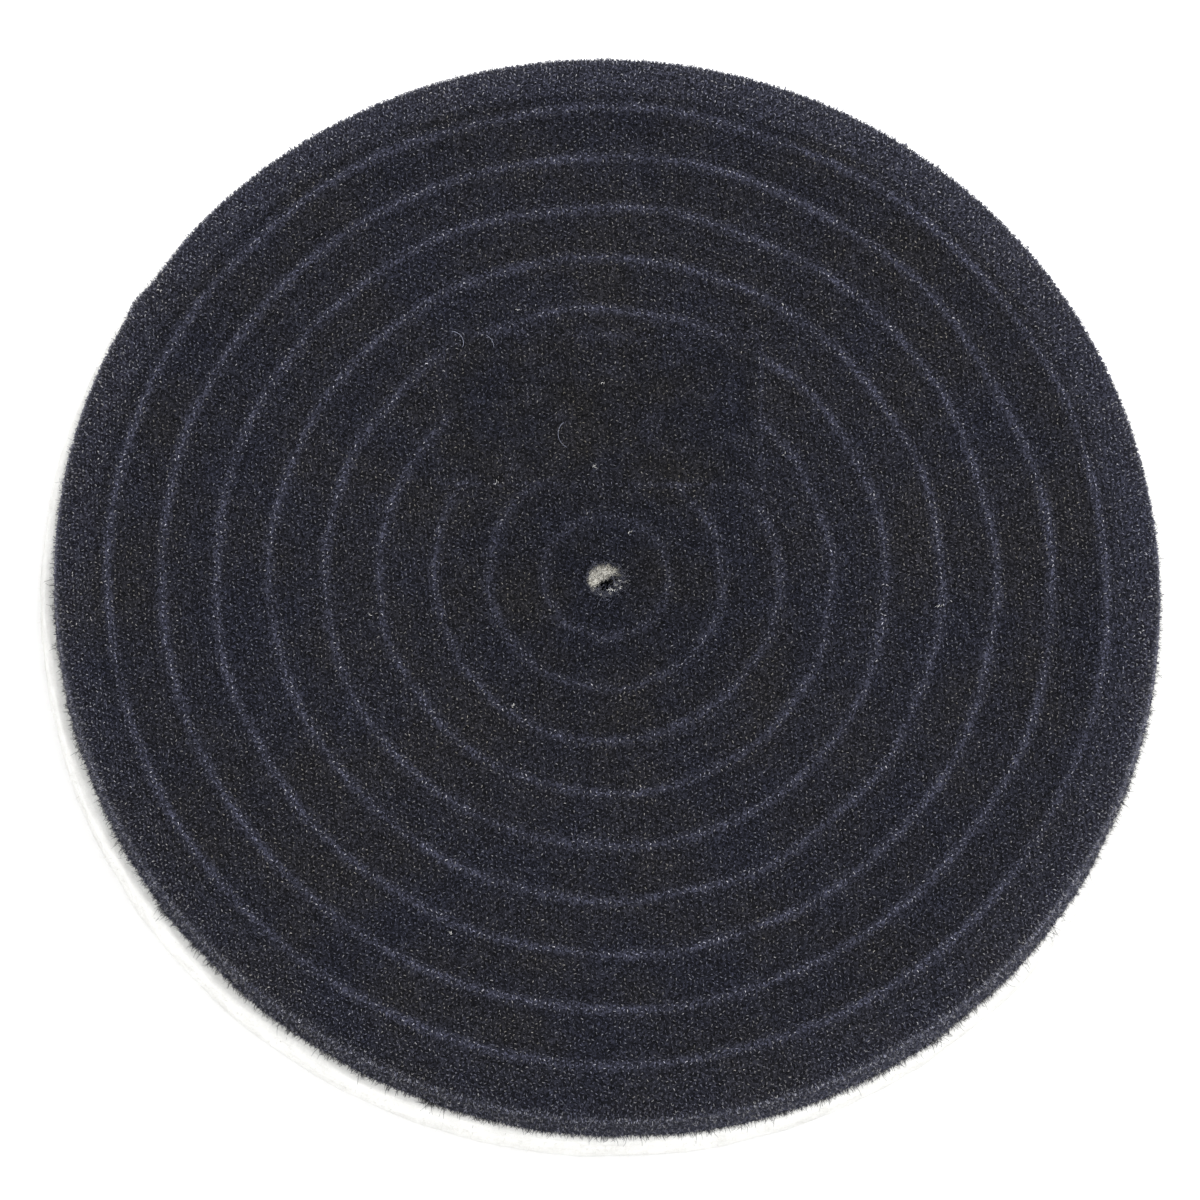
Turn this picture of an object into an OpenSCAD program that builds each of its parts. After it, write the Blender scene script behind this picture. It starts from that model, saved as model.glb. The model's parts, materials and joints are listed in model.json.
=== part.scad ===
// Felt polishing wheel: a thick round of wool felt in two layers, held by a loop cloth
// that covers the back and turns down over its edge. The cloth is glued down along
// concentric beads, which raise low ridges in it, and one hole is punched through all.
//
// Origin: middle of the working face, which lies on z = 0. +Z runs along the hole,
// from the working face towards the loop cloth. Millimetres.

/* [Wheel] */
// Diameter of the face felt, the widest layer
wheel_d = 177.8; // [150:0.1:203.2]
// Thickness of the wheel, from the working face to the cloth between two ridges
wheel_t = 19.05; // [17:0.05:26]
// Diameter of the hole punched through every layer
bore_d = 6.35; // [4:0.05:12]

/* [Face felt] */
// Thickness of the white face felt
face_t = 7.95; // [5:0.05:9]
// How far the face felt stands out beyond the cloth, all round
felt_lip = 2.2; // [0.5:0.1:3]
// Thickness of the adhesive film between the two felts
film_t = 0.3; // [0.1:0.05:0.5]

/* [Loop cloth] */
// Thickness of the cloth, with its pile
cloth_t = 1.3; // [0.8:0.1:2]
// Outer radius of the shoulder over which the cloth turns down
shoulder_r = 3.5; // [2.5:0.1:5]
// Thickness of the adhesive behind the turned-down skirt
skirt_glue_t = 0.3; // [0.1:0.05:0.5]

/* [Glue rings] */
// Number of concentric beads of adhesive
ring_count = 9; // [3:1:12]
// Radius of the innermost bead, at its middle
first_ring_r = 9.8; // [8.5:0.1:14]
// From the middle of the outermost bead to the outside of the skirt
rim_margin = 8.3; // [7.5:0.1:12]
// Width of a bead
bead_w = 2.4; // [1.6:0.1:3]
// Height of a bead, and of the ridge that it raises in the cloth
bead_h = 0.4; // [0.2:0.05:0.5]

/* [Hidden] */

face_r = wheel_d / 2;
bore_r = bore_d / 2;
cover_r = face_r - felt_lip;
skirt_inner_r = cover_r - cloth_t;
core_r = skirt_inner_r - skirt_glue_t;

core_z = face_t + film_t;
core_top_z = wheel_t - cloth_t;
inner_shoulder_r = shoulder_r - cloth_t;
// The skirt's glue stops short of the raw edge, so that none is squeezed out below it
raw_edge_free = 1;

// A bead is squeezed flat under the cloth, to this width along its top
bead_top_w = bead_w / 2;
// The cloth can't follow a bead's edge sharply, so its ridge is a little wider than the bead
drape_w = 1.2;
ridge_w = bead_w + drape_w;
ring_pitch = (cover_r - rim_margin - first_ring_r) / (ring_count - 1);

// Cutting shapes run this far past the faces that they cut
over = 1;
$fn = 180;

function ring_radius(k) = first_ring_r + (k - 1) * ring_pitch;

// Half section of a round layer with one round corner, at its top outer edge
module layer_section(r, z_low, z_high, corner_r) {
    square_corner_z = z_high - corner_r;
    translate([0, z_low]) square([r, square_corner_z - z_low]);
    translate([0, z_low]) square([r - corner_r, z_high - z_low]);
    translate([r - corner_r, square_corner_z]) circle(corner_r);
}

// A glue bead's section, squeezed flat, standing on y = 0 and centred on x = 0
module bead_section() {
    polygon([
        [-bead_w / 2, 0],
        [bead_w / 2, 0],
        [bead_top_w / 2, bead_h],
        [-bead_top_w / 2, bead_h]
    ]);
}

// The round ridge that a bead raises in the cloth, standing on y = 0 and centred on x = 0
module ridge_section() {
    arc_r = (ridge_w * ridge_w / 4 + bead_h * bead_h) / (2 * bead_h);
    intersection() {
        translate([0, bead_h - arc_r]) circle(arc_r);
        translate([-ridge_w / 2, 0]) square([ridge_w, bead_h]);
    }
}

// Its child section swept round the hole as ring k, standing at height z
module ring(k, z) {
    rotate_extrude() translate([ring_radius(k), z]) children();
}

module round_layer(r, z_low, z_high, corner_r) {
    rotate_extrude() layer_section(r, z_low, z_high, corner_r);
}

module bore(z_low, z_high) {
    translate([0, 0, z_low - over]) cylinder(r = bore_r, h = z_high - z_low + 2 * over);
}

// White wool felt, the working layer
module face_felt() {
    color("whitesmoke") difference() {
        cylinder(r = face_r, h = face_t);
        bore(0, face_t);
    }
}

// Adhesive film between the two felts
module bond_film() {
    color("khaki") difference() {
        translate([0, 0, face_t]) cylinder(r = core_r, h = film_t);
        bore(face_t, core_z);
    }
}

// Cream felt, the body that the cloth covers
module core_felt() {
    color("antiquewhite") difference() {
        round_layer(core_r, core_z, core_top_z, inner_shoulder_r);
        bore(core_z, core_top_z);
    }
}

// Band of adhesive between the side of the core and the skirt
module skirt_glue() {
    z_low = core_z + raw_edge_free;
    height = core_top_z - inner_shoulder_r - z_low;
    color("khaki") translate([0, 0, z_low]) difference() {
        cylinder(r = skirt_inner_r, h = height);
        translate([0, 0, -over]) cylinder(r = core_r, h = height + 2 * over);
    }
}

// One bead of adhesive on top of the core, numbered from the hole outwards
module glue_ring(k) {
    color("khaki") ring(k, core_top_z) bead_section();
}

// Loop-pile cloth, over the top of the core and down its side, with a ridge over each bead
module loop_cover() {
    color("midnightblue") difference() {
        union() {
            round_layer(cover_r, core_z, wheel_t, shoulder_r);
            for (k = [1 : ring_count]) ring(k, wheel_t) ridge_section();
        }
        round_layer(skirt_inner_r, core_z - over, core_top_z, inner_shoulder_r);
        for (k = [1 : ring_count]) ring(k, core_top_z) bead_section();
        bore(core_top_z, wheel_t);
    }
}

face_felt();
bond_film();
core_felt();
skirt_glue();
for (k = [1 : ring_count])
    glue_ring(k);
loop_cover();
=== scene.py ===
"""Looks of the felt polishing wheel: a dark loop cloth over a cream felt core, on a white felt face.

Metres, in the frame of the CAD model: the working face lies on z = 0 and the hole runs along Z.
Sizes come from the CAD nodes' boxes, or from the named values below.
"""

import json
import math

import bpy
import numpy as np
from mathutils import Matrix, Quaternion, Vector


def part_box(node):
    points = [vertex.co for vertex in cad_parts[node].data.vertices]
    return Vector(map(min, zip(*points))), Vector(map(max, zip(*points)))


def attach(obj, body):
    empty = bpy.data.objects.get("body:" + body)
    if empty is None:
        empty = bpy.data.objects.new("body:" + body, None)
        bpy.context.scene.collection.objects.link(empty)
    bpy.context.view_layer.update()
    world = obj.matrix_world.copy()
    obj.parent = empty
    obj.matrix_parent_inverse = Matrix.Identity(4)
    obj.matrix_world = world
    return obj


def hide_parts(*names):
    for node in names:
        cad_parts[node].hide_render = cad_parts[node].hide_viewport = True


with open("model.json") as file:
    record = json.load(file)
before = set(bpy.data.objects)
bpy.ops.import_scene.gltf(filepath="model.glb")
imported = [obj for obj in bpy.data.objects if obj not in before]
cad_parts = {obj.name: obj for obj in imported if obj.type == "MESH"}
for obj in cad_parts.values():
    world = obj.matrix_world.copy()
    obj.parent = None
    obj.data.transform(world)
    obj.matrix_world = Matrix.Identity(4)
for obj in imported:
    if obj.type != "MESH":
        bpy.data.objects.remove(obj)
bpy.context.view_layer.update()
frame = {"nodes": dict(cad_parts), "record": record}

MM = 0.001
TAU = 2 * math.pi
SEED = 11

# ---------------------------------------------------------------- sizes, from the CAD nodes

RING_COUNT = sum(name.startswith("glue_ring_") for name in frame["nodes"])
BEAD_W = 2.4 * MM  # a glue bead's width, which its box doesn't show
BORE_R = frame["record"]["mounts"][0]["dims"]["r_mm"] * MM

cover_low, cover_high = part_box("loop_cover")
core_low, core_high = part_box("core_felt")
face_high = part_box("face_felt")[1]
bead_low, bead_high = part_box("glue_ring_1")

COVER_R = cover_high.x
CORE_R = core_high.x
FACE_R = face_high.x
FACE_TOP_Z = face_high.z
CORE_LOW_Z = core_low.z
RIDGE_H = bead_high.z - bead_low.z
TOP_Z = cover_high.z - RIDGE_H
HEM_Z = cover_low.z
CORE_TOP_Z = core_high.z
CLOTH_T = TOP_Z - CORE_TOP_Z
RING_R = [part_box(f"glue_ring_{k + 1}")[1].x - BEAD_W / 2 for k in range(RING_COUNT)]

# ---------------------------------------------------------------- shapes that the CAD leaves plain

# The cloth, where it turns down over the core
SHOULDER_W = 4.2 * MM
SHOULDER_H = 3.2 * MM
EDGE_DROP = 0.3 * MM  # how far it sinks between the last ridge and the shoulder
CUT_R = 95.9 * MM  # of the round that it was cut from

FLAT_R = COVER_R - SHOULDER_W
SIDE_Z = TOP_Z - EDGE_DROP - SHOULDER_H
RIDGE_HALF_W = 1.8 * MM  # from a ridge's crest to where the cloth lies flat again
CREST_LINE_HALF_W = 0.7 * MM  # of the fine line of opened pile and painted sheen along a crest
CREST_BAND_HALF_W = 1.6 * MM  # of the soft band of opened pile and painted sheen round it

# The felts and the cloth were glued on a little off the axis of the hole
OFF_AXIS = Vector((0.85 * MM, 0.2 * MM))
# The cloth was drawn to one side as it was turned down, which took the outer ridges along, the last most
RIDGE_DRIFT = Vector((0.45 * MM, -0.7 * MM))
RIDGE_WANDER = 0.16 * MM  # how far a ridge strays from its circle

# Directions round the wheel, from +X
SHEEN_SIDE = math.radians(75)  # where the most sheen is painted on the pile
FLARE_SIDE = math.radians(-50)  # where the raw edge flares most
CREEP_SIDE = math.radians(97)  # where the cloth creeps in over the hole
YARN_SIDE = math.radians(-50)  # where most yarn ends lean in over the hole
FLECK_SIDE = math.radians(-58)  # where pale flecks are caught in them

# A warp knit: wales side by side, each with its loops a little lower than the one on its left
WALE_PITCH = 0.71 * MM
COURSE_PITCH = 0.77 * MM
COURSE_SLANT = 0.33 * MM
WALE_TILT = math.radians(4)
PILE_PIECES = 8
LOOP_SPAN = (0.26 * MM, 0.46 * MM)
LOOP_HEIGHT = (0.2 * MM, 0.34 * MM)

# Steps of the meshes round the hole
CLOTH_SPOKES = 448
FELT_SPOKES = 360

# Radii of yarn and of loose fibres, at the root
YARN_R = 0.085 * MM
STANDING_YARN_R = 0.07 * MM
CUT_YARN_R = 0.055 * MM
RIM_FIBRE_R = 0.025 * MM
FELT_FIBRE_R = 0.03 * MM
LIP_FIBRE_R = 0.055 * MM
FLECK_R = 0.045 * MM
LINT_HAIR_R = 0.028 * MM
LINT_SPECK_R = 0.025 * MM
LINT_H = 0.35 * MM  # how high above the cloth lint lies on the loops

# How much lighter and bluer the pile is coloured at each feature, for opened pile and for painted sheen and
# highlights, where the crest of a full ridge gives 1
FIELD_NAP = 0.12
# Painted sheen on the rim all round
RIM_SHEEN = 0.08
RIM_SHEEN_EXTRA = 0.36  # painted sheen added to the rim's on the side where most sheen is painted
# A painted highlight along the shoulder's bend
BEND_HIGHLIGHT = 0.8
# Painted sheen down the cloth's side
SIDE_SHEEN = 0.42
PATCH_EDGE_NAP = 0.32
PATCH_MOTTLE_NAP = 0.07
CUT_YARN_NAP = 0.1

# A label once lay on the cloth. It left an oblong of pressed pile, which flattens the ridges.
PATCH_X = (-25.2 * MM, 24.7 * MM)
PATCH_Y = (15.0 * MM, 39.9 * MM)
PATCH_SOFTNESS = 3.5 * MM
CREASE_W = 0.4 * MM
FAINT_CREASE = 0.4  # the crease on the left, as a share of the others

# The core's felt swells into the top of the hole, more on one side, and frays there
LIP_DEPTH = 1.6 * MM
LIP_R = 3.1 * MM
LIP_CENTRE = Vector((1.33 * MM, -2.41 * MM))

# ---------------------------------------------------------------- numbers


def rng(name):
    """A random stream of its own for each piece, so that editing one leaves the others alone."""
    return np.random.default_rng([SEED, *name.encode()])


def smoothstep(low, high, value):
    """0 below low, 1 above high, and a smooth rise between them."""
    t = np.clip((value - low) / (high - low), 0, 1)
    return t * t * (3 - 2 * t)


def wave(theta, random, fewest, most, count):
    """A smooth closed curve round the wheel, about 1 high.

    It is the sum of count waves of random phase, each with between fewest and most periods in a turn.
    """
    total = np.zeros_like(theta)
    for _ in range(count):
        turns = random.integers(fewest, most + 1)
        total += np.sin(turns * theta + random.uniform(0, TAU))
    return total / math.sqrt(count / 2)


def swells(x, y, random, shortest, longest, count):
    """Smooth hollows and swells over the plane, about 1 high, from waves in random directions."""
    total = np.zeros_like(x)
    for _ in range(count):
        direction, length = random.uniform(0, TAU), random.uniform(shortest, longest)
        along = x * math.cos(direction) + y * math.sin(direction)
        total += np.sin(along * TAU / length + random.uniform(0, TAU))
    return total / math.sqrt(count / 2)


def unit(vectors):
    """The vectors, each brought to length 1."""
    return vectors / np.maximum(np.linalg.norm(vectors, axis=-1, keepdims=True), 1e-12)


def polar(r, theta, z):
    """Points, or directions, from cylindrical coordinates."""
    return np.stack([r * np.cos(theta), r * np.sin(theta), z], axis=-1)


def radial(theta):
    """Directions straight away from the axis."""
    return polar(1, theta, 0 * theta)


def turns_of(count):
    """Angles spread evenly over one turn."""
    return np.arange(count) * TAU / count


# ---------------------------------------------------------------- the cloth's shape and its pile


def patch_mask(x, y):
    """1 well inside the oblong of pressed pile, 0 outside it."""
    mask = 1.0
    for value, (low, high) in ((x, PATCH_X), (y, PATCH_Y)):
        mask = mask * smoothstep(low - PATCH_SOFTNESS, low + PATCH_SOFTNESS, value)
        mask = mask * smoothstep(-high - PATCH_SOFTNESS, -high + PATCH_SOFTNESS, -value)
    return mask


def ridges(x, y, half_width):
    """How much of a full ridge the cloth has at a place, from 0 to about 1."""
    theta = np.arctan2(y, x)
    total = np.zeros_like(x)
    for k, ring_r in enumerate(RING_R):
        random = rng(f"ridge_{k + 1}")
        outwards = k / (RING_COUNT - 1)
        drift = RIDGE_DRIFT * outwards**5
        r = np.hypot(x - drift.x, y - drift.y)
        strength = 0.5 + 0.5 * outwards**0.7
        wander = RIDGE_WANDER * wave(theta, random, fewest=3, most=14, count=6)
        patchy = np.clip(0.84 + 0.16 * wave(theta, random, fewest=5, most=40, count=10), 0.4, 1.25)
        off = np.minimum(np.abs(r - ring_r - wander) / half_width, 1)
        total += strength * patchy * (0.5 + 0.5 * np.cos(math.pi * off))
    inner = (RING_R[0] + RING_R[1]) / 2
    return total * (1 - patch_mask(x, y) * smoothstep(inner - MM, inner + MM, np.hypot(x, y)))


def near_line(value, line):
    """1 on a straight crease, fading out on both sides of it."""
    return np.exp(-(((value - line) / CREASE_W) ** 2))


def patch_outline(x, y):
    """1 on the edges of the oblong, where the label's rim creased the pile."""
    within_x = (x > PATCH_X[0] - MM) & (x < PATCH_X[1] + MM)
    within_y = (y > PATCH_Y[0] - MM) & (y < PATCH_Y[1] + MM)
    upright = (near_line(x, PATCH_X[0]) * FAINT_CREASE + near_line(x, PATCH_X[1])) * within_y
    level = (near_line(y, PATCH_Y[0]) + near_line(y, PATCH_Y[1])) * within_x
    return np.maximum(upright, level)


def sheen_side(theta):
    """1 on the side where the most sheen is painted on the pile, and 0 on the opposite side."""
    return 0.5 + 0.5 * np.cos(theta - SHEEN_SIDE)


def nap_and_sheen(x, y, line):
    """How light the pile is coloured, from 0 in the field to about 1 on a crest: lighter where it is
    opened, with painted sheen on the crests, the rim and the side, and a painted highlight along the
    shoulder's bend.

    line is the share that a fine line along each crest has in it, and the rest is a soft band.
    """
    s, theta = np.hypot(x, y), np.arctan2(y, x)
    pressed = patch_mask(x, y)
    field = FIELD_NAP * smoothstep(0, 40 * MM, s) * (1 - pressed)
    crest = line * ridges(x, y, CREST_LINE_HALF_W) + (1 - line) * ridges(x, y, CREST_BAND_HALF_W)
    # Painted sheen on the rim, more on one side
    on_rim = smoothstep(RING_R[-1] + 1.0 * MM, RING_R[-1] + 3.0 * MM, s)
    on_rim = on_rim * (1 - smoothstep(0, 3 * MM, s - SIDE_S))
    rim = on_rim * (RIM_SHEEN + RIM_SHEEN_EXTRA * sheen_side(theta))
    # A painted highlight along the shoulder's bend
    bend = BEND_HIGHLIGHT * np.exp(-(((s - SIDE_S) / (0.9 * MM)) ** 2))
    # Painted sheen down the side
    side = SIDE_SHEEN * smoothstep(SIDE_S - MM, SIDE_S + MM, s)
    mottle = pressed * swells(x, y, rng("mottle"), shortest=4 * MM, longest=12 * MM, count=12)
    marks = PATCH_EDGE_NAP * patch_outline(x, y) + PATCH_MOTTLE_NAP * mottle
    return field + crest + rim + bend + side + marks


def profile():
    """The cloth's outer side beyond its flat top: distance along the cut cloth, radius, height, tilt."""
    turn = np.linspace(0, math.pi / 2, 25)
    radius = np.append(FLAT_R + SHOULDER_W * np.sin(turn), COVER_R)
    height = np.append(SIDE_Z + SHOULDER_H * np.cos(turn), HEM_Z)
    tilt = np.append(turn, math.pi / 2)
    steps = np.hypot(np.diff(radius), np.diff(height))
    return FLAT_R + np.append(0, np.cumsum(steps)), radius, height, tilt


ALONG, OUT_R, OUT_Z, TILT = profile()
HEM_S = ALONG[-1]
SIDE_S = ALONG[-2]


def hem_end(theta):
    """How far along the cloth its raw edge lies."""
    return HEM_S + 0.14 * MM * wave(theta, rng("hem_end"), fewest=5, most=70, count=16)


def hole_edge(theta):
    """Radius at which the cloth ends round the hole. It creeps in over the hole on one side."""
    ragged = 0.12 * MM * wave(theta, rng("hole_edge"), fewest=6, most=40, count=12)
    creep = 0.65 * MM * (0.5 + 0.5 * np.cos(theta - CREEP_SIDE)) ** 2
    return BORE_R + ragged - creep


def hem_flare(theta):
    """How far the raw edge stands away from the core. On the side where it doesn't flare it is drawn in."""
    ripple = wave(theta, rng("hem_flare"), fewest=8, most=50, count=10)
    return MM * (0.3 + 0.42 * np.cos(theta - FLARE_SIDE) + 0.05 * ripple)


def bulge(theta, degrees, width):
    """1 at one place round the wheel, fading out over a width in degrees."""
    away = (theta - math.radians(degrees) + math.pi) % TAU - math.pi
    return np.exp(-((away / math.radians(width)) ** 2))


def out_of_round(theta):
    """How far the cloth's side stands off a true circle: lopsided, with one crease and a flat beside it."""
    lopsided = 0.27 * np.cos(2 * theta + math.radians(136)) + 0.31 * np.cos(3 * theta - math.radians(135))
    # Any further in, and the band of glue behind the cloth would show
    lopsided = np.maximum(lopsided, -0.3)
    crease = 0.45 * bulge(theta, degrees=148.7, width=1.2)
    flat = 0.27 * bulge(theta, degrees=144, width=3.5)
    return MM * (lopsided + crease - flat)


def top_height(x, y):
    """Height of the cloth's upper side inside the shoulder."""
    r = np.hypot(x, y)
    drop = EDGE_DROP * smoothstep(RING_R[-1] + MM, FLAT_R, r)
    swell = 0.05 * MM * swells(x, y, rng("swell"), shortest=9 * MM, longest=30 * MM, count=14)
    return TOP_Z + RIDGE_H * ridges(x, y, RIDGE_HALF_W) + swell - drop


def off_axis(points, r_from, r_to):
    """Moves what lies outside r_from sideways by OFF_AXIS, in full from r_to on."""
    share = smoothstep(r_from, r_to, np.hypot(points[..., 0], points[..., 1]))
    points[..., 0] += OFF_AXIS.x * share
    points[..., 1] += OFF_AXIS.y * share
    return points


def shift_cloth(points):
    """Moves the cloth off the axis beyond its last ridge."""
    return off_axis(points, RING_R[-1] + MM, COVER_R)


def shift_felt(points, outer_r):
    """Moves a round of felt off the axis, but leaves its hole where it is."""
    return off_axis(points, 0.6 * outer_r, outer_r)


def on_cloth(x, y):
    """Where a place on the flat cut lies on the wheel, and which way its pile stands there."""
    s, theta = np.hypot(x, y), np.arctan2(y, x)
    tilt = np.interp(s, ALONG, TILT)
    flare = smoothstep(SIDE_S, HEM_S, s) * hem_flare(theta)
    outward = flare + smoothstep(FLAT_R, SIDE_S, s) * out_of_round(theta)
    r = np.where(s < FLAT_R, s, np.interp(s, ALONG, OUT_R)) + outward
    beyond = np.maximum(s - HEM_S, 0)
    z = np.where(s < FLAT_R, top_height(x, y), np.interp(s, ALONG, OUT_Z) - beyond)
    normal = polar(np.sin(tilt), theta, np.cos(tilt))
    return shift_cloth(polar(r, theta, z)), normal


# ---------------------------------------------------------------- meshes


def new_object(name, vertices, *face_sets):
    """A smooth mesh object. A face set is an array of faces that have the same number of corners."""
    mesh = bpy.data.meshes.new(name)
    mesh.vertices.add(len(vertices))
    mesh.vertices.foreach_set("co", np.asarray(vertices, np.float32).ravel())
    corners = np.concatenate([faces.ravel() for faces in face_sets]).astype(np.int32)
    sizes = np.concatenate([np.full(len(faces), faces.shape[1]) for faces in face_sets])
    mesh.loops.add(len(corners))
    mesh.loops.foreach_set("vertex_index", corners)
    mesh.polygons.add(len(sizes))
    mesh.polygons.foreach_set("loop_start", (np.cumsum(sizes) - sizes).astype(np.int32))
    mesh.update(calc_edges=True)
    mesh.shade_smooth()
    obj = bpy.data.objects.new(name, mesh)
    bpy.context.scene.collection.objects.link(obj)
    return obj


def add_values(obj, name, values):
    """Stores one number at each vertex, for the material to read."""
    layer = obj.data.attributes.new(name, "FLOAT", "POINT")
    layer.data.foreach_set("value", np.asarray(values, np.float32).ravel())
    return obj


def add_nap_and_sheen(obj, per_thread):
    """Stores how opened each thread looks and how much sheen is painted on it, at all its vertices."""
    return add_values(obj, "nap_and_sheen", np.repeat(per_thread, len(obj.data.vertices) // len(per_thread)))


def ring_grid(name, points):
    """A closed skin through points[station, turn], closed both along the stations and round the hole."""
    stations, turns = points.shape[:2]
    index = np.arange(stations * turns).reshape(stations, turns)
    after, beside = np.roll(index, -1, axis=0), np.roll(index, -1, axis=1)
    across = np.roll(after, -1, axis=1)
    faces = np.stack([index, after, across, beside], axis=-1).reshape(-1, 4)
    return new_object(name, points.reshape(-1, 3), faces)


def threads(name, paths, radii, across):
    """Closed three-sided threads along paths[thread, point]. across is square to each thread, or nearly."""
    count, length = paths.shape[:2]
    along = unit(np.gradient(paths, axis=1))
    across = np.broadcast_to(across[:, None], along.shape)
    side = unit(across - along * np.sum(along * across, axis=-1, keepdims=True))
    lift = np.cross(along, side)
    sides = 3
    turn = turns_of(sides)[:, None]
    around = np.cos(turn) * side[:, :, None] + np.sin(turn) * lift[:, :, None]
    vertices = paths[:, :, None] + np.asarray(radii)[..., None, None] * around

    first = sides * length * np.arange(count)[:, None, None]
    level = sides * np.arange(length - 1)[:, None]
    corner = np.arange(sides)
    beside = (corner + 1) % sides
    walls = [level + corner, level + beside, level + sides + beside, level + sides + corner]
    walls = first[..., None] + np.stack(walls, axis=-1)
    ends = first + np.array([corner[::-1], sides * (length - 1) + corner])
    return new_object(name, vertices.reshape(-1, 3), walls.reshape(-1, 4), ends.reshape(-1, sides))


def strands(roots, headings, lengths, random, bend, fall=0.0, points=4):
    """Paths that set off from roots along headings, bend at random at each step and fall a little."""
    step = lengths[:, None] / (points - 1)
    heading = unit(headings)
    paths = [roots]
    for _ in range(points - 1):
        heading = unit(heading + bend * random.normal(size=heading.shape) - (0, 0, fall))
        paths.append(paths[-1] + heading * step)
    return np.stack(paths, axis=1)


def hairs(name, paths, radius, random, tip=0.3):
    """Threads that thin out towards the tip."""
    radii = radius * np.linspace(1, tip, paths.shape[1])
    across = np.cross(paths[:, 1] - paths[:, 0], random.normal(size=(len(paths), 3)))
    return threads(name, paths, radii, unit(across))


# ---------------------------------------------------------------- pieces of the cover


def top_stations():
    """Distances across the flat top, close together over the ridges and further apart between."""
    first = BORE_R + 0.6 * MM
    last = FLAT_R
    stations = [first, last]
    for r in RING_R:
        stations += list(r + RIDGE_HALF_W * np.linspace(-1.05, 1.05, 9))
    for inner, outer in zip([first, *RING_R], [*RING_R, last]):
        stations += list(np.linspace(inner + RIDGE_HALF_W * 1.3, outer - RIDGE_HALF_W * 1.3, 3))
    return sorted(s for s in set(stations) if first <= s <= last)


def loop_cloth():
    """The dark cloth: over the core, down over its shoulder to a raw edge, and back underneath."""
    theta = turns_of(CLOTH_SPOKES)
    just_clear = 0.02 * MM
    outside = []
    inside = []

    def hole_wall(out, z):
        """A station on the cloth's edge in the hole."""
        outside.append(polar(hole_edge(theta) + out, theta, z + 0 * theta))

    def lining(r, z):
        """A station on the cloth's hidden side."""
        inside.append(shift_cloth(polar(r, theta, z + 0 * theta)))

    # Up out of the hole, over the top and down the side to the raw edge
    hole_wall(0.05 * MM, CORE_TOP_Z + just_clear)
    hole_wall(0.05 * MM, CORE_TOP_Z + 0.5 * CLOTH_T)
    hole_wall(0.25 * MM, TOP_Z - 0.2 * MM)
    for s in top_stations():
        outside.append(on_cloth(s * np.cos(theta), s * np.sin(theta))[0])
    for share in np.linspace(0, 1, 22)[1:]:
        s = FLAT_R + (hem_end(theta) - FLAT_R) * share
        outside.append(on_cloth(s * np.cos(theta), s * np.sin(theta))[0])

    # Round the cut edge, and back up the lining to the hole
    edge = outside[-1]
    inward = -radial(theta)
    down = np.array([0, 0, -1.0])
    outside.append(edge + 0.45 * CLOTH_T * inward + 0.12 * MM * down)
    outside.append(edge + 0.9 * CLOTH_T * inward - 0.1 * MM * down)
    inner_r = COVER_R - CLOTH_T
    lining(inner_r, HEM_Z + 1.5 * MM)
    for turn in np.linspace(0, math.pi / 2, 5):
        lining(
            inner_r - (SHOULDER_W - CLOTH_T) * (1 - math.cos(turn)),
            SIDE_Z + (CORE_TOP_Z + RIDGE_H - SIDE_Z) * math.sin(turn),
        )
    for r in np.linspace(FLAT_R - 2 * MM, RING_R[0] - 2 * MM, 6):
        lining(r, CORE_TOP_Z + RIDGE_H)
    lining(BORE_R + 2 * MM, CORE_TOP_Z + just_clear)

    points = np.array(outside + inside)
    obj = ring_grid("loop_cloth", points)
    # Opened pile and painted sheen and highlights, as a value at each vertex
    return add_values(obj, "nap_and_sheen", nap_and_sheen(points[..., 0], points[..., 1], line=0.35))


def knit_places():
    """Flat places of the knit's loops, with the sector that each lies in."""
    random = rng("knit_places")
    wales = math.ceil(CUT_R / WALE_PITCH)
    courses = math.ceil((CUT_R + wales * COURSE_SLANT) / COURSE_PITCH)
    wale, course = np.meshgrid(np.arange(-wales, wales + 1), np.arange(-courses, courses + 1))
    flat = np.stack([wale * WALE_PITCH, course * COURSE_PITCH - wale * COURSE_SLANT], axis=-1)
    flat = flat.reshape(-1, 2)
    # The lattice is less even where the cloth is stretched over the shoulder
    stretched = smoothstep(SIDE_S - 2.5 * MM, SIDE_S, np.hypot(*flat.T))
    flat += random.normal(0, 1, flat.shape) * (0.08 * MM + 0.22 * MM * stretched)[:, None]
    turned = Vector((math.cos(WALE_TILT), math.sin(WALE_TILT)))
    x = flat[:, 0] * turned.x - flat[:, 1] * turned.y
    y = flat[:, 0] * turned.y + flat[:, 1] * turned.x
    s, theta = np.hypot(x, y), np.arctan2(y, x)
    keep = (s > hole_edge(theta) + 0.15 * MM) & (s < hem_end(theta))
    sector = np.floor((theta[keep] / TAU + 0.5) * PILE_PIECES).astype(int) % PILE_PIECES
    return x[keep], y[keep], sector


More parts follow.
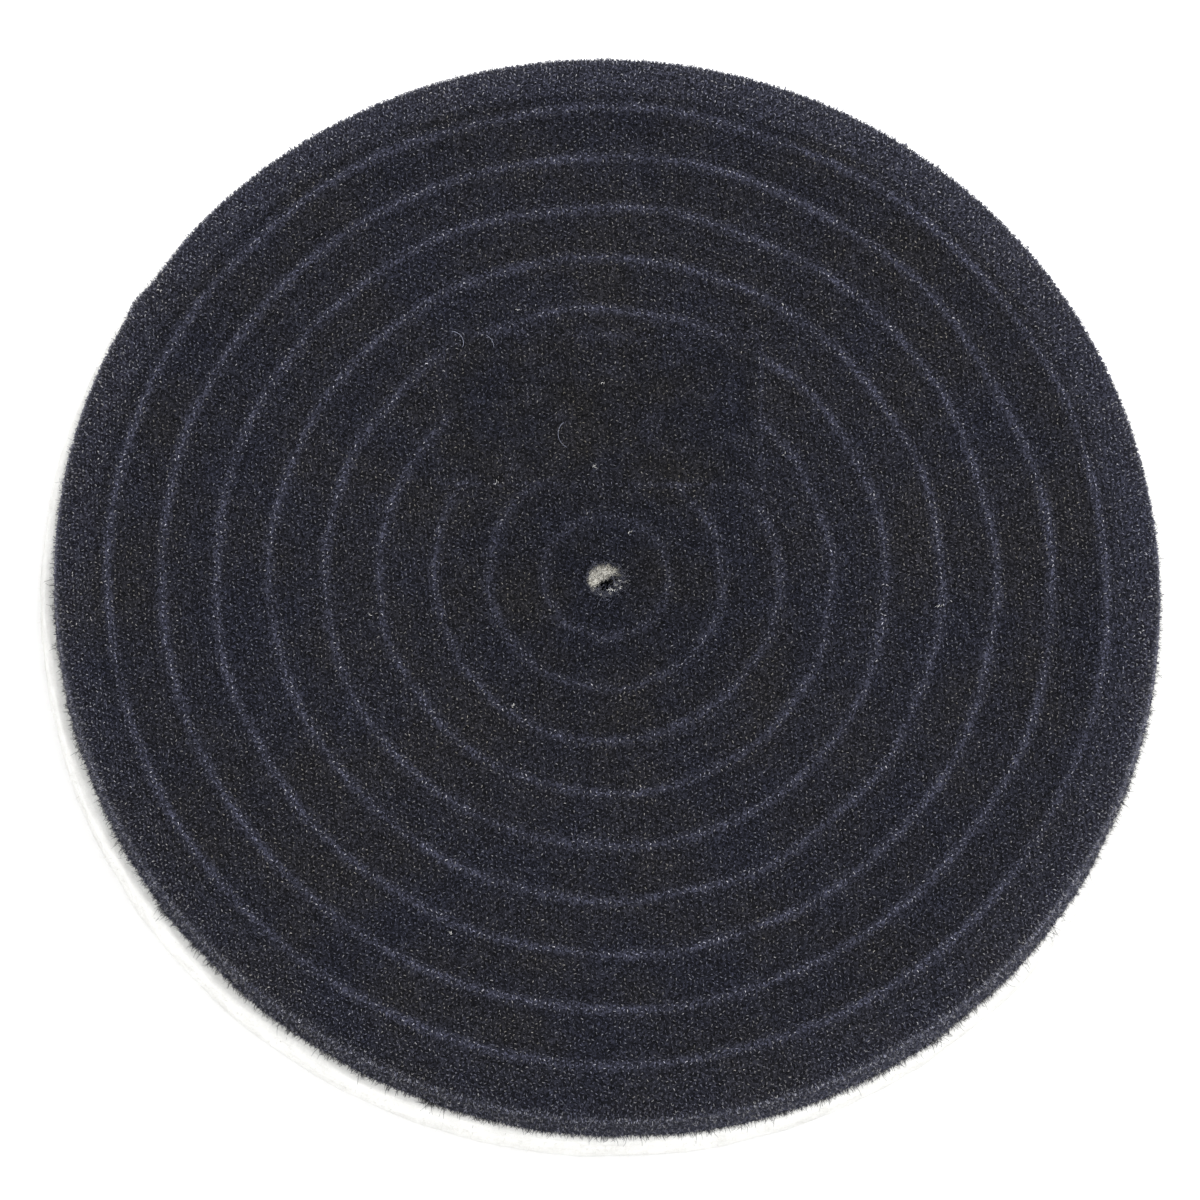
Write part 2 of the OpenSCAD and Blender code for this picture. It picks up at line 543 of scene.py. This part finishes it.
def loop_paths(x, y, random):
    """Pile loops at flat places: out of the cloth, over and back in, at all angles. A few are pulled up."""
    count = len(x)
    turn = random.uniform(0, TAU, count)
    span = random.uniform(*LOOP_SPAN, count)
    height = random.uniform(*LOOP_HEIGHT, count) * (1 - 0.4 * patch_mask(x, y))
    pulled = random.uniform(size=count) < 0.03
    height[pulled] *= 2.2
    kink = random.normal(0, 0.05 * MM, (count, 2))
    chord = np.stack([np.cos(turn), np.sin(turn)])
    # Each stop on a loop: its share of the span, its share of the height, and how it kinks sideways
    stops = ((-0.5, -0.3, 0.0), (-0.25, 1.0, 1.0), (0.25, 1.0, -1.0), (0.5, -0.3, 0.0))
    path = []
    for along, up, sideways in stops:
        shift = sideways * kink[:, 0] + abs(sideways) * kink[:, 1]
        place, normal = on_cloth(
            x + chord[0] * span * along - chord[1] * shift,
            y + chord[1] * span * along + chord[0] * shift,
        )
        path.append(place + normal * (height * up)[:, None])
    paths = np.stack(path, axis=1)
    return paths, unit(np.cross(normal, paths[:, -1] - paths[:, 0]))


def pile():
    """The loops of the pile, in sectors, so that no piece has too many faces."""
    x, y, sector = knit_places()
    made = []
    for k in range(PILE_PIECES):
        here = sector == k
        name = f"pile_{k + 1}"
        paths, across = loop_paths(x[here], y[here], rng(name))
        obj = threads(name, paths, np.full(paths.shape[1], YARN_R), across)
        # Each loop's opened pile and painted sheen and highlights
        made.append(add_nap_and_sheen(obj, nap_and_sheen(x[here], y[here], line=0.7)))
    return made


def cut_edge_hairs(name, theta, random, lengths, outward, fall):
    """Cut ends of yarn along the raw edge, and a little above it."""
    s = hem_end(theta) - np.abs(random.normal(0, 0.12 * MM, len(theta)))
    place, _ = on_cloth(s * np.cos(theta), s * np.sin(theta))
    roots = place - 0.15 * MM * radial(theta)
    swing = theta + random.normal(0, 0.6, len(theta))
    down = random.uniform(-1.2, 0.1, len(theta))
    headings = polar(outward, swing, down)
    paths = strands(roots, headings, lengths, random, bend=0.3, fall=fall)
    return add_nap_and_sheen(hairs(name, paths, CUT_YARN_R, random), np.full(len(theta), CUT_YARN_NAP))


def hem_fringe():
    """The fringe of short yarn ends all along the raw edge, one in ten of them longer."""
    random = rng("hem_fringe")
    count = 7000
    lengths = random.uniform(0.5, 1.5, count) * MM
    long_ones = random.uniform(size=count) < 0.1
    lengths[long_ones] *= 1.6
    theta = random.uniform(0, TAU, count)
    return cut_edge_hairs("hem_fringe", theta, random, lengths, outward=1.3, fall=0.05)


def yarn_tufts():
    """The few places where a bundle of yarn stands out from the raw edge."""
    random = rng("yarn_tufts")
    ends_per_tuft = 26
    places = np.radians([-38, 25, 71, 217, 251, 305])
    theta = np.concatenate([random.normal(place, 0.006, ends_per_tuft) for place in places])
    lengths = random.uniform(1.2, 2.6, len(theta)) * MM
    return cut_edge_hairs("yarn_tufts", theta, random, lengths, outward=0.9, fall=0.0)


def standing_hairs(name, spread, count, lengths, radius, least_nap_and_sheen):
    """Hairs that stand off the shoulder and the side at all angles, with painted sheen that makes them
    lighter on one side.
    """
    random = rng(name)
    theta = random.uniform(0, TAU, count)
    s = np.minimum(random.normal(SIDE_S + 0.4 * MM, spread, count), hem_end(theta) - 0.2 * MM)
    place, normal = on_cloth(s * np.cos(theta), s * np.sin(theta))
    headings = normal + 0.9 * random.normal(size=normal.shape)
    paths = strands(place - 0.1 * MM * normal, headings, random.uniform(*lengths, count), random, bend=0.8)
    obj = hairs(name, paths, radius, random, tip=0.7)
    # Painted sheen, more on one side
    return add_nap_and_sheen(obj, least_nap_and_sheen + 0.6 * sheen_side(theta))


def rim_curls():
    """Thick pulled curls of yarn on the shoulder, which keep its outline from being smooth."""
    return standing_hairs(
        "rim_curls",
        spread=1.9 * MM,
        count=3000,
        lengths=(0.45 * MM, 1.2 * MM),
        radius=STANDING_YARN_R,
        least_nap_and_sheen=0.2,
    )


def rim_fuzz():
    """Thin, longer fibres between the curls."""
    return standing_hairs(
        "rim_fuzz",
        spread=1.2 * MM,
        count=4500,
        lengths=(0.6 * MM, 1.5 * MM),
        radius=RIM_FIBRE_R,
        least_nap_and_sheen=0.5,
    )


def hole_yarns():
    """Dark yarn ends that lean in over the hole, half of them crowded on one side."""
    random = rng("hole_yarns")
    count = 1150
    crowded = random.normal(YARN_SIDE, 0.65, count // 2)
    theta = np.concatenate([crowded, random.uniform(0, TAU, count - len(crowded))])
    depth = random.uniform(0.15, 0.9, count) * CLOTH_T
    roots = polar(hole_edge(theta) + 0.2 * MM, theta, TOP_Z - depth)
    inward = random.uniform(-1.2, -0.2, count)
    headings = polar(inward, theta + random.normal(0, 0.7, count), 0.3 + 0 * theta)
    lengths = random.uniform(0.3, 0.9, count) * MM
    lengths[random.uniform(size=count) < 0.12] *= 2
    # Two thirds of the crowded ones reach further over the hole
    lengths[: count // 3] *= 2.7
    paths = strands(roots, headings, lengths, random, bend=0.6, fall=0.12, points=5)
    # None rises above the pile round the hole
    paths[..., 2] = np.minimum(paths[..., 2], TOP_Z + 0.3 * MM)
    obj = hairs("hole_yarns", paths, STANDING_YARN_R, random, tip=0.6)
    return add_nap_and_sheen(obj, random.uniform(0, 0.1, count))


# ---------------------------------------------------------------- pieces of felt


def felt_disc(name, outer_r, z_low, z_high, corners, rough, lip):
    """A round of felt with a hole, soft corners and an uneven skin.

    corners is how round its lower and upper outer corners are, rough the height of the bumps on its side,
    and lip its swelling into the hole.
    """
    random = rng(name)
    theta = turns_of(FELT_SPOKES)
    quarter = np.linspace(0, math.pi / 2, 5)[1:]
    under, over = corners
    chamfer = 0.35 * MM
    outline = [(BORE_R, z_low + chamfer)]
    outline += [(r, z_low) for r in np.linspace(BORE_R + chamfer, outer_r - under, 24)]
    outline += [(outer_r - under * (1 - math.sin(t)), z_low + under * (1 - math.cos(t))) for t in quarter]
    outline += [(outer_r, z) for z in np.linspace(z_low + under, z_high - over, 9)[1:]]
    outline += [(outer_r - over * (1 - math.cos(t)), z_high - over * (1 - math.sin(t))) for t in quarter]
    outline += [(r, z_high) for r in np.linspace(outer_r - 2 * over, BORE_R + chamfer, 14)]
    outline += [(BORE_R, z) for z in np.linspace(z_high - chamfer, z_low + 3 * chamfer, 24)]
    points = np.array([polar(r, theta, z + 0 * theta) for r, z in outline])

    radius, height = np.array(outline).T[..., None]
    on_side = abs(radius - outer_r) < over
    in_hole = radius < BORE_R + chamfer * 1.01
    bumps = random.normal(0, 1, points.shape[:2])
    bumps = (bumps + np.roll(bumps, 1, axis=1) + np.roll(bumps, -1, axis=1)) / 2
    bumps += np.array([wave(theta, random, fewest=4, most=30, count=8) for _ in outline])
    # The lower corner is too sharp for bumps of its own, so it takes those just above it
    in_corner = np.flatnonzero(on_side & (height < z_low + 1.01 * under))
    bumps[in_corner] = bumps[in_corner[-1]]
    spread = rough * bumps * (on_side + 0.5 * in_hole)
    # The wall stands a little inside the bore all round, which hides the film between the felts
    spread -= in_hole * (lip(theta, height) + 0.08 * MM)
    points += spread[..., None] * radial(theta)
    obj = ring_grid(name, shift_felt(points, outer_r))
    # Shade is painted on the wall of the hole below its top, starting further down where the felt swells
    # into it
    unshaded_depth = 0.6 * LIP_DEPTH * np.clip(lip(theta, CORE_TOP_Z) / (0.4 * MM), -0.5, 1)
    walls = radius < BORE_R + 0.5 * chamfer
    hole_shade = walls * smoothstep(0, 0.9 * LIP_DEPTH, CORE_TOP_Z - height - unshaded_depth)
    return add_values(obj, "hole_shade", hole_shade)


def no_lip(theta, _height):
    """For felt that ends flush with the bore."""
    return 0 * theta


def frayed_lip(theta, height):
    """How far the felt stands into the hole just under the cloth, as if its own hole lay to one side."""
    along = LIP_CENTRE.x * np.cos(theta) + LIP_CENTRE.y * np.sin(theta)
    aside = LIP_CENTRE.x * np.sin(theta) - LIP_CENTRE.y * np.cos(theta)
    lip_r = along + np.sqrt(LIP_R**2 - aside**2)
    ragged = 0.12 * MM * wave(theta, rng("frayed_lip"), fewest=8, most=45, count=12)
    into_hole = np.maximum(BORE_R - lip_r + ragged, 0)
    return into_hole * (1 - smoothstep(0.4 * LIP_DEPTH, LIP_DEPTH, CORE_TOP_Z - height))


def felt_fuzz():
    """Loose white fibres on the side of the face felt."""
    random = rng("felt_fuzz")
    count = 6500
    theta = random.uniform(0, TAU, count)
    z = random.uniform(0.1, 0.85, count) * FACE_TOP_Z
    roots = shift_felt(polar(FACE_R - 0.1 * MM, theta, z), FACE_R)
    headings = polar(0.6, theta + random.normal(0, 1.1, count), random.normal(0, 0.7, count))
    lengths = random.uniform(0.35, 1.2, count) * MM
    paths = strands(roots, headings, lengths, random, bend=0.5)
    # None reaches through the ground
    paths[..., 2] = np.maximum(paths[..., 2], 0.04 * MM)
    return hairs("felt_fuzz", paths, FELT_FIBRE_R, random)


def hole_fuzz():
    """Cream fibres on the frayed lip: half of them on top of it and half along its edge."""
    random = rng("hole_fuzz")
    count = 1500
    on_top = np.arange(count) < count // 2
    theta = random.normal(math.atan2(-LIP_CENTRE.y, -LIP_CENTRE.x), 0.85, count)
    height = CORE_TOP_Z - np.where(on_top, 0, random.uniform(0, 0.9, count) * LIP_DEPTH)
    reach = np.where(on_top, random.uniform(0.1, 1, count), 1)
    roots = polar(BORE_R - reach * frayed_lip(theta, height) + 0.1 * MM, theta, height)
    inward = random.uniform(-1, 0, count)
    headings = polar(inward, theta + random.normal(0, 0.9, count), random.normal(0.5, 0.5, count))
    lengths = random.uniform(0.25, 0.8, count) * MM
    paths = strands(roots, headings, lengths, random, bend=0.6)
    return hairs("hole_fuzz", paths, LIP_FIBRE_R, random)


def hole_flecks():
    """Small clumps of pale fibre caught in the dark yarns across from the frayed lip."""
    random = rng("hole_flecks")
    clumps = 14
    fibres_each = 7
    theta = np.repeat(random.normal(FLECK_SIDE, 0.42, clumps), fibres_each)
    r = BORE_R - np.repeat(random.uniform(0.1, 1.1, clumps), fibres_each) * MM
    roots = polar(r, theta, TOP_Z + 0.05 * MM + 0 * theta) + random.normal(0, 0.07 * MM, (len(theta), 3))
    lengths = random.uniform(0.15, 0.4, len(theta)) * MM
    paths = strands(roots, random.normal(size=roots.shape), lengths, random, bend=0.6)
    return hairs("hole_flecks", paths, FLECK_R, random)


def curl(x, y, length, heading, turn):
    """A hair that lies on the pile: it sets off at heading and turns steadily, by turn in all."""
    bearing = heading + turn * np.linspace(0, 1, 9)
    step = length / (len(bearing) - 1)
    along_x = x + np.cumsum(np.cos(bearing)) * step
    along_y = y + np.cumsum(np.sin(bearing)) * step
    place, normal = on_cloth(along_x, along_y)
    return place + LINT_H * normal


def lint_hairs():
    """A few bluish hairs caught in the pile."""
    # Each hair's start and length in millimetres, and its heading and turn in degrees
    drawn = [
        (-6.0, 25.5, 4.8, 215, 110),
        (-24.4, 40.0, 3.6, 5, -110),
        (-18.8, 39.5, 2.4, -20, -70),
    ]
    paths = []
    for x, y, length, heading, turn in drawn:
        paths.append(curl(x * MM, y * MM, length * MM, math.radians(heading), math.radians(turn)))
    return hairs("lint_hairs", np.array(paths), LINT_HAIR_R, rng("lint_hairs"), tip=0.8)


def lint_specks():
    """A few pale specks of fluff caught in the pile."""
    random = rng("lint_specks")
    # Their places on the cloth, in millimetres
    specks = [(-37.1, -6.7), (-24.6, -58.2), (-14.8, -21.3), (52.4, -4.6), (3.8, 7.2), (-1.4, 18.0)]
    specks += [(-0.1, 31.7), (-13.6, 43.8), (-17.0, 15.1), (28.3, 44.8), (28.3, 20.2)]
    paths = []
    for speck in specks:
        for _ in range(random.integers(2, 5)):
            x, y = (speck + random.normal(0, 0.1, 2)) * MM
            paths.append(curl(x, y, length=0.45 * MM, heading=random.uniform(0, TAU), turn=2.0))
    return hairs("lint_specks", np.array(paths), LINT_SPECK_R, random, tip=0.8)


# ---------------------------------------------------------------- materials

NAVY = (0.0098, 0.0105, 0.0164)
BROWN_BLACK = (0.0124, 0.0120, 0.0134)
# Lighter, bluer yarn, for opened pile and for painted sheen and highlights
OPENED_PILE_AND_SHEEN = (0.0352, 0.0366, 0.0542)
# Painted shade down the hole
HOLE_SHADE = (0.46, 0.46, 0.50)


def grey(value):
    return (value, value, value)


def material(name):
    """An empty material with a principled shader: the material, its node tree and the shader."""
    mat = bpy.data.materials.new(name)
    mat.use_nodes = True
    tree = mat.node_tree
    tree.nodes.clear()
    out = tree.nodes.new("ShaderNodeOutputMaterial")
    shader = tree.nodes.new("ShaderNodeBsdfPrincipled")
    tree.links.new(shader.outputs[0], out.inputs[0])
    return mat, tree, shader


def feed(tree, socket, value):
    """Gives a socket its value: another node's socket, a number, or a colour of three numbers."""
    if isinstance(value, bpy.types.NodeSocket):
        tree.links.new(value, socket)
    elif isinstance(value, tuple):
        socket.default_value = (*value, 1)
    else:
        socket.default_value = value


def feed_all(tree, fed, **values):
    """Gives a node's sockets their values. A socket's name is written with _ for a space."""
    for key, value in values.items():
        feed(tree, fed.inputs[key.replace("_", " ")], value)


def node(tree, kind, properties=(), **values):
    """A node with its properties and its sockets set."""
    made = tree.nodes.new(kind)
    for key, value in dict(properties).items():
        setattr(made, key, value)
    feed_all(tree, made, **values)
    return made


def ramp(tree, factor, stops):
    """The colour at a factor, from stops of place and colour."""
    made = tree.nodes.new("ShaderNodeValToRGB")
    elements = made.color_ramp.elements
    while len(elements) < len(stops):
        elements.new(0.5)
    for element, (place, colour) in zip(elements, stops):
        element.position = place
        element.color = (*colour, 1)
    tree.links.new(factor, made.inputs[0])
    return made.outputs[0]


def maths(tree, operation, *values):
    """The result of one operation on numbers or sockets."""
    made = node(tree, "ShaderNodeMath", {"operation": operation})
    for socket, value in zip(made.inputs, values):
        feed(tree, socket, value)
    return made.outputs[0]


def mix(tree, factor, a, b, blend="MIX"):
    """Colour a with b blended over it. Each may be a socket or a plain colour."""
    made = node(tree, "ShaderNodeMix", {"data_type": "RGBA", "blend_type": blend})
    # A mix node has a set of sockets for each kind of data. These are its factor and its two colours.
    for k, value in ((0, factor), (6, a), (7, b)):
        feed(tree, made.inputs[k], value)
    return made.outputs[2]


def pile_material(name, flecks, depth=None):
    """Near-black yarn with fine light flecks, bluer and lighter where the pile is opened and where sheen
    and highlights are painted on it.

    With a depth it is a surface with grains that deep. Without one it is for separate threads, each of
    its own tone.
    """
    mat, tree, shader = material(name)
    place = node(tree, "ShaderNodeTexCoord").outputs["Object"]
    grains = node(tree, "ShaderNodeTexVoronoi", {"feature": "F1"}, Vector=place, Scale=3600.0)
    broad = node(tree, "ShaderNodeTexNoise", Vector=place, Scale=70.0, Detail=3.0, Roughness=0.6)
    hue = ramp(tree, broad.outputs["Fac"], [(0.35, NAVY), (0.65, BROWN_BLACK)])
    # Opened pile and painted sheen and highlights blend the yarn towards a lighter blue
    opened_and_sheen = node(tree, "ShaderNodeAttribute", {"attribute_name": "nap_and_sheen"}).outputs["Fac"]
    lifted = mix(tree, opened_and_sheen, hue, OPENED_PILE_AND_SHEEN)
    speckled = mix(tree, 1.0, lifted, ramp(tree, grains.outputs["Color"], flecks), "MULTIPLY")
    if depth is None:
        own = node(tree, "ShaderNodeNewGeometry").outputs["Random Per Island"]
        tones = [
            (0.0, grey(1.6)),
            (0.5, (4.8, 4.7, 4.2)),
            (0.85, (7.3, 7.1, 5.6)),
            (0.97, (9.6, 9.2, 6.9)),
            (1.0, (12.8, 12.2, 9.0)),
        ]
        speckled = mix(tree, 1.0, speckled, ramp(tree, own, tones), "MULTIPLY")
    else:
        hollow = grains.outputs["Distance"]
        bump = node(tree, "ShaderNodeBump", {"invert": True}, Strength=0.9, Distance=depth, Height=hollow)
        feed_all(tree, shader, Normal=bump.outputs[0])
    feed_all(tree, shader, Base_Color=speckled, Roughness=0.7, Specular_IOR_Level=0.05)
    feed_all(tree, shader, Sheen_Weight=0.03, Sheen_Roughness=0.45, Sheen_Tint=(0.62, 0.68, 1.0))
    return mat


def cloth_material():
    """The ground between the loops, darkest in its pits, with flecks far darker than the yarn's as painted
    shade between the loops.
    """
    flecks = [(0.0, grey(0.08)), (0.5, grey(0.55)), (0.86, grey(1.6)), (1.0, grey(3.4))]
    return pile_material("loop_cloth", flecks, depth=0.15 * MM)


def yarn_material():
    """The loops and the loose ends."""
    flecks = [(0.0, grey(0.5)), (0.6, grey(1.0)), (1.0, grey(2.2))]
    return pile_material("pile_yarn", flecks)


def felt_material(name, dark, light):
    """Matted wool: soft clouds of tone, fine fibre grain, a little sheen, and painted shade down the hole.
    """
    mat, tree, shader = material(name)
    place = node(tree, "ShaderNodeTexCoord").outputs["Object"]
    cloud = node(tree, "ShaderNodeTexNoise", Vector=place, Scale=260.0, Detail=5.0, Roughness=0.65)
    grain = node(
        tree, "ShaderNodeTexNoise", Vector=place, Scale=2600.0, Detail=4.0, Roughness=0.7, Distortion=1.5
    )
    both = maths(tree, "ADD", cloud.outputs["Fac"], grain.outputs["Fac"])
    wool = ramp(tree, maths(tree, "MULTIPLY", both, 0.5), [(0.32, dark), (0.62, light)])
    # Painted shade down the hole
    hole_shaded = node(tree, "ShaderNodeAttribute", {"attribute_name": "hole_shade"}).outputs["Fac"]
    bump = node(tree, "ShaderNodeBump", Strength=0.7, Distance=0.25 * MM, Height=both)
    feed_all(tree, shader, Base_Color=mix(tree, hole_shaded, wool, HOLE_SHADE), Normal=bump.outputs[0])
    feed_all(tree, shader, Roughness=0.9, Specular_IOR_Level=0.1, Sheen_Weight=0.1)
    return mat


def fibre_material(name, dark, light):
    """Loose wool fibres, each of its own tone."""
    mat, tree, shader = material(name)
    own = node(tree, "ShaderNodeNewGeometry").outputs["Random Per Island"]
    tone = ramp(tree, own, [(0.0, dark), (1.0, light)])
    feed_all(tree, shader, Base_Color=tone, Roughness=0.6, Specular_IOR_Level=0.3)
    return mat


def adhesive_material():
    """Dried yellowish glue, for the layers that stay hidden."""
    mat, tree, shader = material("adhesive")
    place = node(tree, "ShaderNodeTexCoord").outputs["Object"]
    cloud = node(tree, "ShaderNodeTexNoise", Vector=place, Scale=900.0, Detail=3.0)
    colour = ramp(tree, cloud.outputs["Fac"], [(0.3, (0.55, 0.46, 0.25)), (0.7, (0.76, 0.68, 0.45))])
    feed_all(tree, shader, Base_Color=colour, Roughness=0.45)
    return mat


# ---------------------------------------------------------------- the wheel

CLOTH = cloth_material()
YARN = yarn_material()
WHITE_FELT = felt_material("face_felt", (0.73, 0.725, 0.70), (0.92, 0.918, 0.90))
CREAM_FELT = felt_material("core_felt", (0.24, 0.23, 0.19), (0.75, 0.73, 0.66))
WHITE_FIBRE = fibre_material("white_fibre", (0.75, 0.74, 0.70), (0.93, 0.925, 0.90))
CREAM_FIBRE = fibre_material("cream_fibre", (0.12, 0.11, 0.09), (0.96, 0.94, 0.88))
BLUE_FIBRE = fibre_material("blue_fibre", (0.31, 0.33, 0.44), (0.41, 0.43, 0.55))
ADHESIVE = adhesive_material()


def finish_piece(obj, mat, slot, *replaced):
    """Gives a piece its material and its body, and hides the CAD nodes that it stands for. The slot is not
    used.
    """
    obj.data.materials.append(mat)
    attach(obj, "root")
    if replaced:
        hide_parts(*replaced)
    return obj


face_pad = felt_disc(
    "face_felt_pad",
    outer_r=FACE_R,
    z_low=0.0,
    z_high=FACE_TOP_Z,
    corners=(0.15 * MM, 1.2 * MM),
    rough=0.1 * MM,
    lip=no_lip,
)
finish_piece(face_pad, WHITE_FELT, "face_felt", "face_felt")

core_pad = felt_disc(
    "core_felt_pad",
    outer_r=CORE_R,
    z_low=CORE_LOW_Z,
    z_high=CORE_TOP_Z,
    corners=(0.4 * MM, 1.0 * MM),
    rough=0.12 * MM,
    lip=frayed_lip,
)
finish_piece(core_pad, CREAM_FELT, "core_felt", "core_felt")

cloth = finish_piece(loop_cloth(), CLOTH, "loop_cloth", "loop_cover")
yarns = [*pile(), hem_fringe(), yarn_tufts(), rim_curls(), rim_fuzz(), hole_yarns()]
for yarn in yarns:
    finish_piece(yarn, YARN, "loop_cloth")
finish_piece(felt_fuzz(), WHITE_FIBRE, "face_felt")
finish_piece(hole_fuzz(), CREAM_FIBRE, "core_felt")
finish_piece(hole_flecks(), WHITE_FIBRE, "core_felt")
finish_piece(lint_specks(), WHITE_FIBRE, "face_felt")
finish_piece(lint_hairs(), BLUE_FIBRE, "loop_cloth")

# The CAD's own nodes still show where nothing stands for them: the film, the band and the beads of glue
for cad in frame["nodes"].values():
    if not cad.hide_render:
        cad.data.materials.clear()
        cad.data.materials.append(ADHESIVE)

# ---------------------------------------------------------------- floor, light and camera


def view_from(azimuth, elevation):
    """The direction towards a viewer. At azimuth 0 the viewer looks along +Y."""
    a, e = math.radians(azimuth), math.radians(elevation)
    return Vector((math.sin(a) * math.cos(e), -math.cos(a) * math.cos(e), math.sin(e)))


def floor():
    """A plain white ground, a hair below the working face so that the two don't share a plane."""
    mesh = bpy.data.meshes.new("floor")
    half = 3.0
    corners = [(-half, -half, 0), (half, -half, 0), (half, half, 0), (-half, half, 0)]
    mesh.from_pydata(corners, [], [(0, 1, 2, 3)])
    obj = bpy.data.objects.new("floor", mesh)
    bpy.context.scene.collection.objects.link(obj)
    obj.location.z = -0.02 * MM
    mat, tree, shader = material("paper")
    place = node(tree, "ShaderNodeTexCoord").outputs["Object"]
    cloud = node(tree, "ShaderNodeTexNoise", Vector=place, Scale=40.0, Detail=2.0)
    colour = ramp(tree, cloud.outputs["Fac"], [(0.3, grey(0.90)), (0.7, grey(0.92))])
    feed_all(tree, shader, Base_Color=colour, Roughness=0.9, Specular_IOR_Level=0.0)
    obj.data.materials.append(mat)


def area_light(name, azimuth, elevation, power, distance=1.6, size=1.2):
    """A round soft light, a metre or so across, that faces the middle of the wheel."""
    data = bpy.data.lights.new(name, "AREA")
    data.shape = "DISK"
    data.size = size
    data.energy = power
    obj = bpy.data.objects.new(name, data)
    bpy.context.scene.collection.objects.link(obj)
    back = view_from(azimuth, elevation)
    obj.location = back * distance
    obj.rotation_mode = "QUATERNION"
    obj.rotation_quaternion = back.to_track_quat("Z", "Y")


def studio():
    """Even white light from all round, a soft key light from behind on one side and a weak fill."""
    world = bpy.data.worlds.new("studio")
    bpy.context.scene.world = world
    world.use_nodes = True
    background = world.node_tree.nodes["Background"]
    background.inputs["Color"].default_value = (1, 1, 1, 1)
    background.inputs["Strength"].default_value = 0.98
    area_light("key", azimuth=130, elevation=62, power=22)
    area_light("fill", azimuth=-30, elevation=38, power=7)
    bpy.context.scene.view_settings.view_transform = "Standard"


def camera():
    """The photograph's viewpoint: far away, high, turned a little about its own axis."""
    azimuth = -10.8
    elevation = 72.7
    roll = math.radians(10.8)
    distance = 1.73
    frame_width = 187.9 * MM  # at that distance
    aim_off_hole = Vector((-0.9 * MM, -3.7 * MM, 0))  # rightwards and upwards in the picture
    data = bpy.data.cameras.new("camera")
    obj = bpy.data.objects.new("camera", data)
    bpy.context.scene.collection.objects.link(obj)
    data.sensor_width = 36
    data.lens = data.sensor_width * distance / frame_width
    back = view_from(azimuth, elevation)
    turn = back.to_track_quat("Z", "Y") @ Quaternion((0, 0, 1), roll)
    obj.rotation_mode = "QUATERNION"
    obj.rotation_quaternion = turn
    aim = Vector((0, 0, TOP_Z)) + turn @ aim_off_hole
    obj.location = aim + back * distance
    data.clip_start = 0.05
    data.clip_end = 20
    bpy.context.scene.camera = obj


floor()
studio()
camera()
